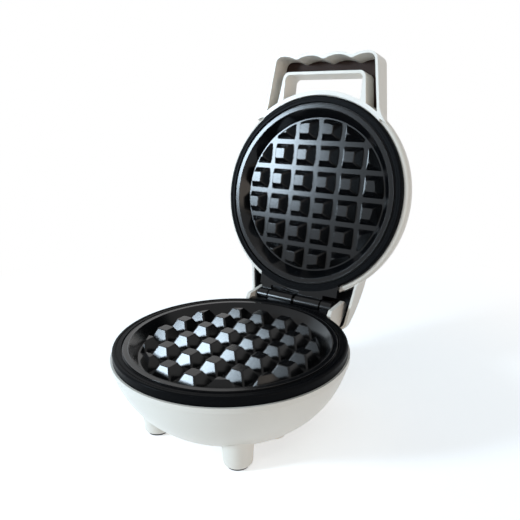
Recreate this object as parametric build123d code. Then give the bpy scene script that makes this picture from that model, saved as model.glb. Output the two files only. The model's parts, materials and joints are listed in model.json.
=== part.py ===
from build123d import *
from math import atan, cos, degrees, radians, sin, sqrt
import os

# Mini waffle maker, modelled with its lid open. Millimetres, +Z up, +Y towards the hinge.
# The origin is on the table, under the middle of the bowl.

# Cooking plates
rim_height = 48.0          # lower plate's rim above the table
close_gap = 0.4            # between the two rims when the lid is shut
lower_rim_radius = 61.5
lower_rim_width = 8.3      # from the rim to the cooking hollow
upper_rim_width = 7.6
hollow_depth = 6.0
hollow_draft = 4.4         # how far the hollow's wall leans in
plate_wall = 2.2
rim_round = 1.0
lower_band = 4.7           # height of the lower plate's outer edge
upper_band = 3.2
skirt_wall = 1.8           # thickness of that outer edge
ring_width = 2.9           # raised ring next to the hollow
groove_width = 0.8
groove_depth = 0.9
outer_line = 1.8           # from the rim to the fine turned line
line_width = 0.5
line_depth = 0.4

# Pegs
peg_pitch = 15.8
peg_foot = 12.9
peg_top = 6.5
peg_drop = 0.3             # peg tops below the rim
peg_corner_round = 1.1
peg_edge_round = 0.5
peg_wall_gap = 0.8         # between the outermost pegs and the hollow's wall
peg_sink = 0.4             # how deep a peg roots in the floor
pegs_across = 6

# Hinge
hinge_reach = 4.7          # axis behind the lower rim
hinge_rise = 0.3           # axis above the lower rim
open_angle = 102.1
barrel_radius = 4.2
pin_radius = 1.5
pin_running = 0.05         # radial clearance of the turning barrels
pin_snug = 0.01            # radial clearance of the fixed barrels
barrel_middle_gap = 1.0    # from the middle to the first long barrel
barrel_long = 17.0
barrel_gap = 1.0
barrel_short = 7.0
flange_thick = 2.8
flange_end = 1.3           # flange past the short barrels
flange_back_gap = 2.4      # from the flange to a barrel
flange_fit = 0.05
web_thick = 2.4

# Base shell
shell_wall = 2.2
lip_step = 1.1             # base's lip past the lower plate
lip_height = 3.1
crease = 0.45
bowl_belly = 7.6           # how far the bowl has drawn in at half height
bowl_belly_drop = 24.4     # that height below the rim
bowl_draw = 20.6           # how far it has drawn in at its bottom
bowl_bottom = 10.5         # underside above the table
bowl_edge_round = 5.0
ear_wall = 2.4
ear_gap = 0.3              # from the flange to an ear
ear_front_gap = 0.6        # from the plate to an ear
ear_rise = 3.9             # top of the ears above the rim
ear_reach = 10.6           # ear behind the hinge axis
ear_round = 1.7
ear_depth = 22.0           # ear below the rim
plug_thick = 1.1           # plugs over the ends of the hinge pin
stop_half = 7.0
stop_clear = 0.3
foot_inset = 15.6          # feet inside the bowl's bottom edge, sideways
front_foot_inset = 11.0
rear_foot_inset = 18.7     # rear feet in front of the hinge axis
front_foot_drop = 24.3     # top of the feet below the rim
rear_foot_drop = 9.8
foot_radius = 7.3
foot_flare = 1.3
foot_round = 1.6
pad_radius = 5.6
pad_height = 1.2
pad_seat = 0.6
cover_inset = 10.5         # bottom cover inside the bowl's bottom edge
cover_clear = 0.1
cover_thick = 2.0
ledge_width = 6.0
ledge_thick = 2.0

# Lid shell, heights above the upper plate's rim
lid_step = 0.4             # lid inside the base's lip
lid_margin = 3.2           # from the upper plate's rim to the lid's side
lid_height = 26.0
lid_lip = 2.4              # shell starts this far above the rim
lid_lip_round = 2.8
lid_shoulder = 5.5
lid_shoulder_round = 11.0
lid_wall = 2.2
lid_seat_gap = 0.6         # round the plate
handle_reach = 21.5        # crest of the scallops in front of the lid
handle_low = 1.0
handle_edge = -1.2         # outer wall's edge at the front of the handle
handle_high = 15.2
handle_wall = 1.5
handle_skin = 1.6
scallop_share = 0.545      # pitch of the scallops as a share of the half width
scallop_rise = 2.2
handle_half_front = 33.8
handle_spread = 4.4        # how much wider the handle gets towards the lid
handle_sink = 8.7          # handle's sides reach this far inside the lid
handle_corner = 5.5
handle_edge_round = 2.6
handle_root_round = 20.0
grip_width = 10.4          # from the scallops to the loop
loop_wall = 1.7
loop_side = 1.2
loop_spread = 2.8
loop_corner = 4.0
channel_side = 7.8         # from the handle's side to the finger hole
finger_corner = 3.0
liner_thick = 1.0
liner_gap = 0.15
liner_fit = 0.02
liner_wall = 0.8
liner_step = 0.8           # the tail's edge stands past its liner
tail_low = 4.0
tail_reach = 13.1          # tail behind the hinge axis
tail_side_gap = 3.2        # from an ear's side to the tail's
tail_spread = 5.3
tail_sink = 17.2
tail_corner = 6.0
tail_wall = 1.5
tail_root_round = 9.0
root_sink = 0.12           # how far a root's arc dips into what it joins
root_overlap = 2.0
tail_root_high = 12.0
tail_edge_round = 2.0
tail_high_front = 17.2
tail_high_middle = 14.5
tail_high_back = 6.8

# Inner parts
post_inset = 24.2          # posts inside the lid's side
heater_inset = 8.0         # heating element inside the posts
heater_radius = 3.2
heater_gap_angle = 60.0
heater_touch = 0.03
terminal_radius = 1.2
terminal_length = 5.0
terminal_room = 1.6        # round a terminal
clamp_inner = 12.0
clamp_margin = 3.8         # clamp past the element's middle
clamp_thick = 1.0
clamp_screw_inset = 9.5    # clamp screws inside the element
boss_radius = 3.2
screw_radius = 1.5
head_radius = 2.8
head_height = 1.8
post_angles = (20, 160, 200, 340)
post_radius = 3.6
post_length = 9.5
upper_post_length = 4.0
column_radius = 4.2
column_step = 1.2
reflector_thick = 0.6
reflector_margin = 5.0     # reflector past the posts
reflector_lift = 4.3       # lower reflector above the terminal block
lower_reflector_hole = 14.0
upper_reflector_room = 9.7 # from the upper reflector to the top of the lid
upper_reflector_hole = 24.0
thermostat_radius = 7.0
thermostat_height = 6.0
blade_length = 6.0
fuse_radius = 2.0
fuse_length = 12.0
cord_bore = 3.2
bush_flange = 6.0
bush_neck = 4.6
bush_drop = 27.0           # cord's entry below the rim
bush_grip = 8.0            # thickness of what it grips
bush_proud = 3.0
bush_seat = 1.0
pin_reach = 5.0
pin_press = 0.02
clamp_bar_half = 10.0
clamp_bar_deep = 5.0
clamp_bar_height = 5.0
lens_radius = 3.6
lens_inset = 18.2          # lens inside the lid's front
lens_length = 6.0
lens_proud = 0.8
lamp_radius = 2.4
lamp_length = 7.0
holder_height = 4.0
holder_wall = 1.0
lead_radius = 0.9
lead_drop = 2.2            # run of the leads below the reflector
block_height = 7.0
block_half = 12.0
block_deep = 9.0
block_front = 12.0
block_pitch = 8.0

# Sizes that follow from those
lip_radius = lower_rim_radius + lip_step
lid_radius = lip_radius - lid_step
upper_rim_radius = lid_radius - lid_margin
lower_mouth_radius = lower_rim_radius - lower_rim_width
upper_mouth_radius = upper_rim_radius - upper_rim_width
hinge_back = lower_rim_radius + hinge_reach
flange_half = barrel_middle_gap + barrel_long + barrel_gap + barrel_short + flange_end
bowl_mid_radius = lip_radius - bowl_belly
bowl_mid_height = rim_height - bowl_belly_drop
bowl_foot_radius = lip_radius - bowl_draw
ear_outer = flange_half + ear_gap + ear_wall
foot_x = bowl_foot_radius - foot_inset
front_foot_y = front_foot_inset - bowl_foot_radius
rear_foot_y = hinge_back - rear_foot_inset
front_foot_top = rim_height - front_foot_drop
rear_foot_top = rim_height - rear_foot_drop
cover_radius = bowl_foot_radius - cover_inset
handle_front = lid_radius + handle_reach
handle_back = lid_radius - handle_sink
handle_half_back = handle_half_front + handle_spread
scallop_pitch = handle_half_front * scallop_share
loop_front = handle_front - grip_width
finger_half = handle_half_front - channel_side
loop_half_front = finger_half + loop_side
loop_half_back = loop_half_front + loop_spread
tail_back = hinge_back + tail_reach
tail_front = lid_radius - tail_sink
tail_half_back = ear_outer + tail_side_gap
tail_half_front = tail_half_back + tail_spread
post_ring = lid_radius - post_inset
heater_ring = post_ring - heater_inset
clamp_outer = heater_ring + clamp_margin
clamp_screw_ring = heater_ring - clamp_screw_inset
reflector_radius = post_ring + reflector_margin
lower_reflector_drop = rim_height - bowl_bottom - cover_thick - block_height - reflector_lift
upper_reflector_drop = lid_height - upper_reflector_room
lead_height = rim_height - lower_reflector_drop - lead_drop
bush_height = rim_height - bush_drop
lens_forward = lid_radius - lens_inset

# Derived places
lid_rim = rim_height + close_gap
axis_z = rim_height + hinge_rise
lower_top = Location((0, 0, rim_height))
upper_top = Location((0, 0, lid_rim), (180, 0, 0))
swing = Location((0, hinge_back, axis_z)) * Rotation(-open_angle, 0, 0) * Location((0, -hinge_back, -axis_z))
floor_level = -hollow_depth
back_level = -hollow_depth - plate_wall
far = 400.0


def drum(radius, low, high, x=0.0, y=0.0):
    """A cylinder along Z between two heights."""
    return Pos(x, y, (low + high) / 2) * Cylinder(radius, high - low)


def block(x0, x1, y0, y1, z0, z1):
    return Pos((x0 + x1) / 2, (y0 + y1) / 2, (z0 + z1) / 2) * Box(x1 - x0, y1 - y0, z1 - z0)


def across(radius, y0, y1):
    """A cylinder along Y at the height of the cord's entry."""
    return Pos(0, (y0 + y1) / 2, bush_height) * Rotation(90, 0, 0) * Cylinder(radius, y1 - y0)


def rod(radius, x0, x1, y, z):
    """A cylinder along X."""
    return Pos((x0 + x1) / 2, y, z) * Rotation(0, 90, 0) * Cylinder(radius, x1 - x0)


def turned(points):
    """A body of revolution from points given as radius and height."""
    face = make_face(Polyline(*[(r, 0, z) for r, z in points], close=True))
    return revolve(face, Axis.Z)


def upright(points, half):
    """A plate with the given outline in Y and Z, from -half to half in X."""
    face = make_face(Polyline(*[(0, y, z) for y, z in points], close=True))
    return extrude(face, half, dir=(1, 0, 0), both=True)


def post_places():
    return [(post_ring * cos(radians(a)), post_ring * sin(radians(a))) for a in post_angles]


def joined(first, others):
    for other in others:
        first = first + other
    return first


# Cooking plates

def one_peg():
    """A tapered peg with its foot on the hollow's floor, standing up."""
    height = hollow_depth - peg_drop
    lean = (peg_foot - peg_top) / 2 / height
    foot = peg_foot + 2 * lean * peg_sink
    plan = Plane.XY.offset(floor_level - peg_sink) * Rectangle(foot, foot)
    peg = extrude(plan, height + peg_sink, taper=degrees(atan(lean)))
    flat = peg.edges().filter_by(Plane.XY)
    slanted = [e for e in peg.edges() if e not in flat]
    peg = fillet(slanted, peg_corner_round)
    return fillet(peg.faces().sort_by(Axis.Z)[-1].edges(), peg_edge_round)


def peg_field(floor_radius):
    """All pegs of one plate. Those that meet the hollow's wall are cut by a cone."""
    peg = one_peg()
    height = hollow_depth - peg_drop
    lean = (peg_foot - peg_top) / 2 / height
    edge = floor_radius - peg_wall_gap
    sink = peg_sink * 2
    cone = Pos(0, 0, floor_level - sink + (height + sink + 1) / 2) * Cone(
        edge + lean * sink, edge - lean * (height + 1), height + sink + 1)
    pegs = []
    for i in range(pegs_across):
        for j in range(pegs_across):
            x = (i - (pegs_across - 1) / 2) * peg_pitch
            y = (j - (pegs_across - 1) / 2) * peg_pitch
            if sqrt(x * x + y * y) > edge + peg_foot / 2:
                continue
            placed = Pos(x, y, 0) * peg
            if sqrt((abs(x) + peg_foot / 2) ** 2 + (abs(y) + peg_foot / 2) ** 2) > edge:
                placed = placed & cone
            pegs.append(placed)
    return pegs


def plate_disc(rim_radius, mouth_radius, band):
    """A plate without its hinge, cooking side up, rim at height 0."""
    floor_radius = mouth_radius - hollow_draft
    ring_out = mouth_radius + ring_width
    land_in = ring_out + groove_width
    line_out = rim_radius - outer_line
    line_in = line_out - line_width
    under = mouth_radius + plate_wall
    points = [
        (0, floor_level), (floor_radius, floor_level), (mouth_radius - 0.4, -0.5), (mouth_radius, 0),
        (ring_out, 0), (ring_out, -groove_depth), (land_in, -groove_depth), (land_in, -0.2),
        (line_in, -0.2), (line_in, -line_depth), (line_out, -line_depth), (line_out, 0),
        (rim_radius, 0), (rim_radius, -band), (rim_radius - skirt_wall, -band),
        (rim_radius - skirt_wall, -plate_wall), (under, -plate_wall),
        (floor_radius + plate_wall * 0.7, back_level), (0, back_level)]
    disc = turned(points)
    outer = disc.edges().filter_by(
        lambda e: e.geom_type == GeomType.CIRCLE and abs(e.radius - rim_radius) < 0.01 and abs(e.center().Z) < 0.01)
    disc = fillet(outer, rim_round)
    disc = disc.fuse(*peg_field(floor_radius))
    bosses = [drum(boss_radius, clamp_top, back_level + 0.5, x, y)
              - drum(screw_radius, clamp_top - 1, back_level - 0.2, x, y) for x, y in clamp_screw_places()]
    return joined(disc, bosses)


def clamp_screw_places():
    return [(clamp_screw_ring * cos(radians(a)), clamp_screw_ring * sin(radians(a))) for a in (90, 210, 330)]


def barrel_spans(lid):
    """Where the lid's barrels are along X, or the base's: the two alternate."""
    long_end = barrel_middle_gap + barrel_long
    short_start = long_end + barrel_gap
    spans = [(barrel_middle_gap, long_end), (-short_start - barrel_short, -short_start)]
    return spans if lid else [(-b, -a) for a, b in spans]


def hinge_side(solid, rim_radius, face_z, out, lid):
    """Adds the hinge flange and barrels. face_z is the rim's height and out points away from the food."""
    back = hinge_back - barrel_radius - flange_back_gap
    low, high = sorted((face_z, face_z + out * flange_thick))
    flange = block(-flange_half, flange_half, rim_radius * 0.72, back, low, high)
    flange = flange - drum(rim_radius - skirt_wall / 2, low - 1, high + 1)
    solid = solid + flange
    for x0, x1 in barrel_spans(lid):
        low, high = sorted((face_z + out * 0.2, face_z + out * web_thick))
        solid = solid + block(x0, x1, back - 2, hinge_back, low, high)
        solid = solid + rod(barrel_radius, x0, x1, hinge_back, axis_z)
        bore = pin_radius + (pin_running if lid else pin_snug)
        solid = solid - rod(bore, x0 - 1, x1 + 1, hinge_back, axis_z)
    return solid


def lower_posts():
    """Screw posts on the back of the lower plate."""
    return [drum(post_radius, back_level - post_length, back_level + 0.5, x, y)
            - drum(screw_radius, back_level - post_length - 1, back_level - 0.5, x, y) for x, y in post_places()]


def upper_posts():
    """Posts with a thinner pin on the back of the upper plate."""
    end = back_level - upper_post_length
    return [drum(post_radius, end, back_level + 0.5, x, y)
            + drum(screw_radius, end - pin_reach, end + 0.5, x, y) for x, y in post_places()]


def lower_plate():
    plate = plate_disc(lower_rim_radius, lower_mouth_radius, lower_band)
    plate = lower_top * joined(plate, lower_posts())
    return hinge_side(plate, lower_rim_radius, rim_height, -1, False)


def upper_plate():
    plate = plate_disc(upper_rim_radius, upper_mouth_radius, upper_band)
    plate = upper_top * joined(plate, upper_posts())
    return hinge_side(plate, upper_rim_radius, lid_rim, 1, True)


# Heating parts, drawn under a plate whose rim is at height 0

heater_level = back_level - heater_radius - heater_touch
clamp_top = heater_level - heater_radius - heater_touch


def heater_ends():
    half = heater_gap_angle / 2
    return [(heater_ring * sin(radians(s * half)), -heater_ring * cos(radians(s * half))) for s in (-1, 1)]


def heating_element():
    """A tubular ring with a gap at the front and a terminal at each end."""
    start = -90 + heater_gap_angle / 2
    path = CenterArc((0, 0, 0), heater_ring, start, 360 - heater_gap_angle)
    section = Plane(origin=path @ 0, z_dir=path % 0) * Circle(heater_radius)
    ring = Pos(0, 0, heater_level) * sweep(section, path=path)
    for x, y in heater_ends():
        ring = ring + Pos(x, y, heater_level) * Sphere(heater_radius)
        ring = ring + drum(terminal_radius, heater_level - heater_radius - terminal_length, heater_level, x, y)
    return ring


def heater_clamp():
    """A pressed ring that holds the element against the plate."""
    clamp = drum(clamp_outer, clamp_top - clamp_thick, clamp_top)
    clamp = clamp - drum(clamp_inner, clamp_top - clamp_thick - 1, clamp_top + 1)
    for x, y in clamp_screw_places():
        clamp = clamp - drum(screw_radius, clamp_top - 3, clamp_top + 1, x, y)
    for x, y in heater_ends():
        clamp = clamp - drum(terminal_radius + terminal_room, clamp_top - 3, clamp_top + 1, x, y)
    return clamp


def clamp_screws():
    under = clamp_top - clamp_thick
    return Compound([drum(head_radius, under - head_height, under, x, y)
                     + drum(screw_radius, under, back_level - 0.6, x, y) for x, y in clamp_screw_places()])


def reflector(drop, hole, lens_room):
    """A thin sheet with openings for the posts, the element's terminals and perhaps the lens."""
    low = -drop - reflector_thick
    dish = drum(reflector_radius, low, -drop) - drum(hole, low - 1, 1 - drop)
    for x, y in post_places():
        dish = dish - drum(column_radius + 0.1, low - 1, 1 - drop, x, y)
    for x, y in heater_ends():
        dish = dish - drum(terminal_radius + terminal_room, low - 1, 1 - drop, x, y)
    if lens_room:
        dish = dish - drum(lens_room, low - 1, 1 - drop, 0, lens_forward)
    return dish


# Base

def bowl_arc(shift):
    """Outline of the bowl from the crease down to its flat bottom, moved inwards by shift."""
    top = rim_height - lower_band - lip_height
    return (lip_radius - crease - shift, top), (bowl_mid_radius - shift * 0.86, bowl_mid_height + shift * 0.5), \
        (bowl_foot_radius - shift * 0.6, bowl_bottom + shift)


def bowl_radius(height):
    """The bowl's outer radius at a height between its bottom and the crease."""
    (ax, az), (bx, bz), (cx, cz) = bowl_arc(0)
    d = 2 * (ax * (bz - cz) + bx * (cz - az) + cx * (az - bz))
    a2, b2, c2 = ax * ax + az * az, bx * bx + bz * bz, cx * cx + cz * cz
    ux = (a2 * (bz - cz) + b2 * (cz - az) + c2 * (az - bz)) / d
    uz = (a2 * (cx - bx) + b2 * (ax - cx) + c2 * (bx - ax)) / d
    return ux + sqrt((ax - ux) ** 2 + (az - uz) ** 2 - (height - uz) ** 2)


def bowl_solid(shift):
    """The bowl as a solid of revolution, moved inwards by shift on all sides."""
    top = rim_height - lower_band + (1 if shift else 0)
    start, middle, end = bowl_arc(shift)
    lip = lip_radius - shift
    lines = Line((0, 0, end[1]), (end[0], 0, end[1]))
    arc = ThreePointArc((end[0], 0, end[1]), (middle[0], 0, middle[1]), (start[0], 0, start[1]))
    rest = Polyline((start[0], 0, start[1]), (lip, 0, start[1] + crease), (lip, 0, top), (0, 0, top), (0, 0, end[1]))
    bowl = revolve(make_face([lines, arc, *rest.edges()]), Axis.Z)
    corner = bowl.edges().filter_by(
        lambda e: e.geom_type == GeomType.CIRCLE and abs(e.radius - end[0]) < 0.01 and abs(e.center().Z - end[1]) < 0.01)
    return fillet(corner, bowl_edge_round)


def ear_outline():
    """Side view of the hinge housing, as Y and Z."""
    front = sqrt(lower_rim_radius ** 2 - (flange_half + ear_gap) ** 2) + ear_front_gap
    top = rim_height + ear_rise
    back = hinge_back + ear_reach
    return [(front, rim_height - ear_depth / 2), (front, rim_height + 0.3), (front + 2, top - 1.3),
            (back - 4, top), (back - 1, top - 2.2), (back, top - 4),
            (back - 3, rim_height - ear_depth / 4), (back - 10.3, rim_height - ear_depth / 2),
            (back - 22, rim_height - ear_depth + 1), (front - 6, rim_height - ear_depth)]


def hinge_housing():
    """Two ears and the box between them, under the barrels."""
    body = upright(ear_outline(), ear_outer)
    edges = body.edges().filter_by(Axis.X).sort_by(Axis.Y)[-4:]
    body = fillet(edges, ear_round)
    inner = flange_half + ear_gap
    trough_floor = axis_z - barrel_radius - 1.2
    trough = block(-inner, inner, lower_rim_radius * 0.7, far / 4, trough_floor, far / 4)
    body = body - trough
    under = [(y - shell_wall, z - shell_wall) for y, z in ear_outline()[4:]]
    hollow = upright(under + [(ear_outline()[-1][0], rim_height - ear_depth * 0.4)], inner - 0.01)
    ceiling = block(-far, far, -far, far, trough_floor - shell_wall, far)
    body = body - (hollow - ceiling)
    return body - rod(pin_radius + pin_snug, -ear_outer - 1, ear_outer + 1, hinge_back, axis_z)


def lid_stop():
    """A rib behind the housing that the lid's tail comes to rest on when it is open."""
    edge = (swing * Pos(0, tail_back - tail_wall, lid_rim + tail_low)).position
    tilt = Rotation(90 - open_angle, 0, 0)
    rib = block(-stop_half, stop_half, -16, -stop_clear, -1.6, 1.0)
    return Pos(0, edge.Y, edge.Z) * tilt * rib


def foot(x, y, top):
    low = pad_height
    stem = Pos(x, y, (low + top) / 2) * Cone(foot_radius, foot_radius + foot_flare, top - low)
    rim = stem.edges().sort_by(Axis.Z)[0]
    stem = fillet(rim, foot_round)
    return stem


def base_shell():
    outside = bowl_solid(0)
    inside = bowl_solid(shell_wall)
    shell = outside
    for x in (-foot_x, foot_x):
        shell = shell + foot(x, front_foot_y, front_foot_top) + foot(x, rear_foot_y, rear_foot_top)
    shell = shell + (hinge_housing() - drum(lower_rim_radius + ear_front_gap, rim_height - lower_band, far))
    wall = bowl_radius(bush_height) + bush_seat
    shell = shell + across(bush_flange + 1.5, wall - bush_grip, wall) + lid_stop()
    shell = shell - inside + across(bush_flange + 1.5, wall - bush_grip, wall - 1)
    top = rim_height - lower_band
    seat = drum(lip_radius - crease, top - 3, top) - drum(lower_rim_radius - skirt_wall - 0.4, top - 4, top + 1)
    shell = shell + seat
    ledge_low = bowl_bottom + cover_thick
    ledge_top = ledge_low + ledge_thick
    shell = shell + drum(cover_radius + 3, bowl_bottom, ledge_top)
    shell = shell - drum(cover_radius - ledge_width, bowl_bottom - 1, ledge_top + 1)
    shell = shell - drum(cover_radius + cover_clear, bowl_bottom - 1, ledge_low)
    column_top = rim_height + back_level - post_length
    shoulder = rim_height - lower_reflector_drop - reflector_thick
    for x, y in post_places():
        shell = shell + drum(column_radius + column_step, bowl_bottom, shoulder, x, y)
        shell = shell + drum(column_radius, shoulder - 1, column_top, x, y)
        shell = shell - drum(screw_radius, bowl_bottom - 1, column_top + 1, x, y)
        shell = shell - drum(head_radius + 0.4, bowl_bottom - 1, bowl_bottom + 5, x, y)
    for x, y in cover_screw_places():
        shell = shell + drum(boss_radius, ledge_low, ledge_low + 8, x, y)
        shell = shell - drum(screw_radius, ledge_low - 1, ledge_low + 7, x, y)
    for x in (-foot_x, foot_x):
        for y in (front_foot_y, rear_foot_y):
            shell = shell - drum(pad_radius, 0, pad_height + pad_seat, x, y)
    inner = wall - bush_grip
    shell = shell - across(bush_neck + 1.1, inner - bush_proud, inner)
    shell = shell - across(bush_flange + 0.2, wall, wall + far / 8)
    return shell - across(bush_neck, wall - 20, wall + 1)


def cover_screw_places():
    ring = cover_radius - head_radius - 0.8
    return [(ring * cos(radians(a)), ring * sin(radians(a))) for a in (30, 150, 270)]


def foot_pads():
    return Compound([drum(pad_radius, 0, pad_height + pad_seat, x, y)
                     for x in (-foot_x, foot_x) for y in (front_foot_y, rear_foot_y)])


def bottom_cover():
    cover = drum(cover_radius, bowl_bottom, bowl_bottom + cover_thick)
    for x, y in cover_screw_places():
        cover = cover - drum(screw_radius, bowl_bottom - 1, bowl_bottom + cover_thick + 1, x, y)
        cover = cover - drum(head_radius, bowl_bottom - 1, bowl_bottom + 0.8, x, y)
    for k in range(-2, 3):
        cover = cover - block(-9, 9, k * 5 - 1, k * 5 + 1, bowl_bottom - 1, bowl_bottom + cover_thick + 1)
    return cover


def cover_screws():
    return Compound([drum(head_radius, bowl_bottom + 0.1, bowl_bottom + 0.8, x, y)
                     + drum(screw_radius, bowl_bottom + 0.8, bowl_bottom + cover_thick + 6.8, x, y)
                     for x, y in cover_screw_places()])


def plate_screws():
    seat = bowl_bottom + 5
    top = rim_height + back_level - 2
    return Compound([drum(head_radius, seat - head_height, seat, x, y)
                     + drum(screw_radius, seat, top, x, y) for x, y in post_places()])


def thermostat():
    """A bimetal switch on the middle of the lower plate's back, with two blades."""
    top = back_level - heater_touch
    body = drum(thermostat_radius, top - thermostat_height, top)
    body = body + drum(thermostat_radius + 1.2, top - 1.2, top)
    for x in (-3.5, 3.5):
        body = body + block(x - 1.6, x + 1.6, -0.4, 0.4, top - thermostat_height - blade_length, top - thermostat_height)
    return body


def thermal_fuse():
    """A sleeved fuse clipped under the clamp ring."""
    y = -(clamp_inner + clamp_outer) / 2
    z = clamp_top - clamp_thick - fuse_radius - heater_touch
    body = rod(fuse_radius, -fuse_length / 2, fuse_length / 2, y, z)
    return body + rod(0.5, -fuse_length / 2 - 5, fuse_length / 2 + 5, y, z)


def fuse_clip():
    """A saddle over the fuse, fixed to the clamp ring."""
    y = -(clamp_inner + clamp_outer) / 2
    z = clamp_top - clamp_thick - fuse_radius - heater_touch
    saddle = rod(fuse_radius + 0.7, -2, 2, y, z) + block(-2, 2, y - 6, y + 6, z + fuse_radius - 0.7, z + fuse_radius)
    saddle = saddle - rod(fuse_radius + 0.02, -3, 3, y, z)
    return saddle - block(-3, 3, y - fuse_radius, y + fuse_radius, z, z + fuse_radius + 2)


def terminal_block():
    """Three screw terminals on the bottom cover."""
    z0 = bowl_bottom + cover_thick
    body = block(-block_half, block_half, block_front, block_front + block_deep, z0, z0 + block_height)
    for k in (-1, 0, 1):
        body = body - drum(lead_radius * 2, z0 + block_height / 2, z0 + block_height + 1,
                           k * block_pitch, block_front + block_deep / 2)
    return body


def cord_bush():
    """A rubber bush in the rear wall. Its bore takes a round cord."""
    wall = bowl_radius(bush_height) + bush_seat
    end = wall + bush_proud
    inner = wall - bush_grip
    body = across(bush_neck, inner - 2, end) + across(bush_flange, wall, end)
    body = body + across(bush_neck + 0.9, inner - 2, inner)
    return body - across(cord_bore, 0, end + 1)


def cord_clamp():
    """A bridge over the cord inside the base, on the ledge round the bottom cover."""
    z0 = bowl_bottom + cover_thick + ledge_thick
    y = cover_radius - ledge_width / 2 + clamp_bar_deep / 2
    bar = block(-clamp_bar_half, clamp_bar_half, y - clamp_bar_deep, y, z0, z0 + clamp_bar_height)
    return bar - Pos(0, y, z0) * Rotation(90, 0, 0) * Cylinder(cord_bore, clamp_bar_deep * 3)


def clamp_bar_screws():
    z0 = bowl_bottom + cover_thick + ledge_thick + clamp_bar_height
    y = cover_radius - ledge_width / 2
    x = clamp_bar_half - 3.2
    return Compound([drum(screw_radius * 1.4, z0, z0 + head_height, side * x, y) for side in (-1, 1)])


def base_leads():
    """Two leads from the terminal block, under the reflector and up to the heating element."""
    start = bowl_bottom + cover_thick + block_height / 2 + heater_touch
    end = rim_height + heater_level - heater_radius - terminal_length - heater_touch
    leads = []
    for (x, y), side in zip(heater_ends(), (-1, 1)):
        from_x, from_y = side * block_pitch, block_front + block_deep / 2
        line = FilletPolyline((from_x, from_y, start), (from_x, from_y, lead_height),
                              (x, y, lead_height), (x, y, end), radius=lead_radius * 2)
        section = Plane(origin=line @ 0, z_dir=line % 0) * Circle(lead_radius)
        leads.append(sweep(section, path=line))
    return Compound(leads)


def hinge_pin():
    reach = ear_outer - plug_thick - liner_fit
    return rod(pin_radius, -reach, reach, hinge_back, axis_z)


def pin_plugs():
    """Plugs that close the ears over both ends of the pin."""
    spans = [sorted((side * (ear_outer - plug_thick), side * ear_outer)) for side in (-1, 1)]
    return Compound([rod(pin_radius, x0, x1, hinge_back, axis_z) for x0, x1 in spans])


# Lid, drawn shut

def dome_solid(shift, low):
    """The dome as a solid of revolution, moved inwards by shift."""
    round_ = lid_shoulder_round
    across = lid_radius - round_
    rise = lid_height - lid_shoulder
    crown = (across ** 2 + rise ** 2 - round_ ** 2) / (2 * (rise - round_))
    centre_z = lid_rim + lid_height - crown
    tilt_x = across / (crown - round_)
    tilt_z = (lid_rim + lid_shoulder - centre_z) / (crown - round_)
    small = round_ - shift
    big = crown - shift
    shoulder_z = lid_rim + lid_shoulder
    join = (across + small * tilt_x, 0, shoulder_z + small * tilt_z)
    mid_x, mid_z = 1 + tilt_x, tilt_z
    mid_len = sqrt(mid_x ** 2 + mid_z ** 2)
    knee = (across + small * mid_x / mid_len, 0, shoulder_z + small * mid_z / mid_len)
    half_x, half_z = tilt_x, 1 + tilt_z
    half_len = sqrt(half_x ** 2 + half_z ** 2)
    shallow = (big * half_x / half_len, 0, centre_z + big * half_z / half_len)
    side = lid_radius - shift
    foot_line = Polyline((0, 0, centre_z + big), (0, 0, low), (side, 0, low), (side, 0, shoulder_z))
    face = make_face([*foot_line.edges(), ThreePointArc((side, 0, shoulder_z), knee, join),
                      ThreePointArc(join, shallow, (0, 0, centre_z + big))])
    return revolve(face, Axis.Z)


def mirrored(points):
    return points + [(-x, y) for x, y in reversed(points)]


def handle_outline():
    """Plan of the handle with its scalloped front, seen from above."""
    lean = (handle_half_back - handle_half_front) / (handle_front - handle_back)
    past = 3
    inside = handle_back / 2
    wide = handle_half_back * 3
    square = handle_front - scallop_rise - 1
    sides = Polygon(*mirrored([(handle_half_front - lean * past, -handle_front - past),
                               (handle_half_back + lean * inside, inside - handle_back)]), align=None)
    radius = (scallop_pitch ** 2 / 4 + scallop_rise ** 2) / (2 * scallop_rise)
    front = Pos(0, -square / 2) * Rectangle(wide, square)
    for k in (-1.5, -0.5, 0.5, 1.5):
        front = front + Pos(k * scallop_pitch, radius - handle_front) * Circle(radius)
    plan = sides & front
    corners = plan.vertices().filter_by(lambda v: v.Y < -handle_front + 6 and abs(v.X) > scallop_pitch * 1.3)
    plan = fillet(corners, handle_corner)
    cusps = plan.vertices().filter_by(lambda v: v.Y < -handle_front + 5 and abs(v.X) < scallop_pitch * 1.1)
    return fillet(cusps, 1.6)


def root_plan(near, outer, root_round, circle):
    """Plan of a hollow round between a straight side and the lid's circle.

    The side runs from near to outer, both given as half width and distance from the middle.
    """
    run = sqrt((near[0] - outer[0]) ** 2 + (outer[1] - near[1]) ** 2)
    along = ((outer[0] - near[0]) / run, (outer[1] - near[1]) / run)
    out = (along[1], -along[0])
    side = out[0] * near[0] + out[1] * near[1]
    away = side + root_round - root_sink
    reach = circle + root_round - root_sink
    step = sqrt(reach ** 2 - away ** 2)
    centre = (out[0] * away + along[0] * step, out[1] * away + along[1] * step)
    on_side = (centre[0] - out[0] * root_round, centre[1] - out[1] * root_round)
    on_circle = (centre[0] * (1 - root_round / reach), centre[1] * (1 - root_round / reach))
    middle = (on_side[0] + on_circle[0] - 2 * centre[0], on_side[1] + on_circle[1] - 2 * centre[1])
    length = sqrt(middle[0] ** 2 + middle[1] ** 2)
    knee = (centre[0] + middle[0] / length * root_round, centre[1] + middle[1] / length * root_round)
    crossing = sqrt(circle ** 2 - side ** 2) - root_overlap
    inner = (out[0] * (side - root_sink * 2) + along[0] * crossing, out[1] * (side - root_sink * 2) + along[1] * crossing)
    arc = ThreePointArc(on_side, knee, on_circle)
    rest = Polyline(on_circle, inner, on_side)
    return make_face([arc, *rest.edges()])


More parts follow.
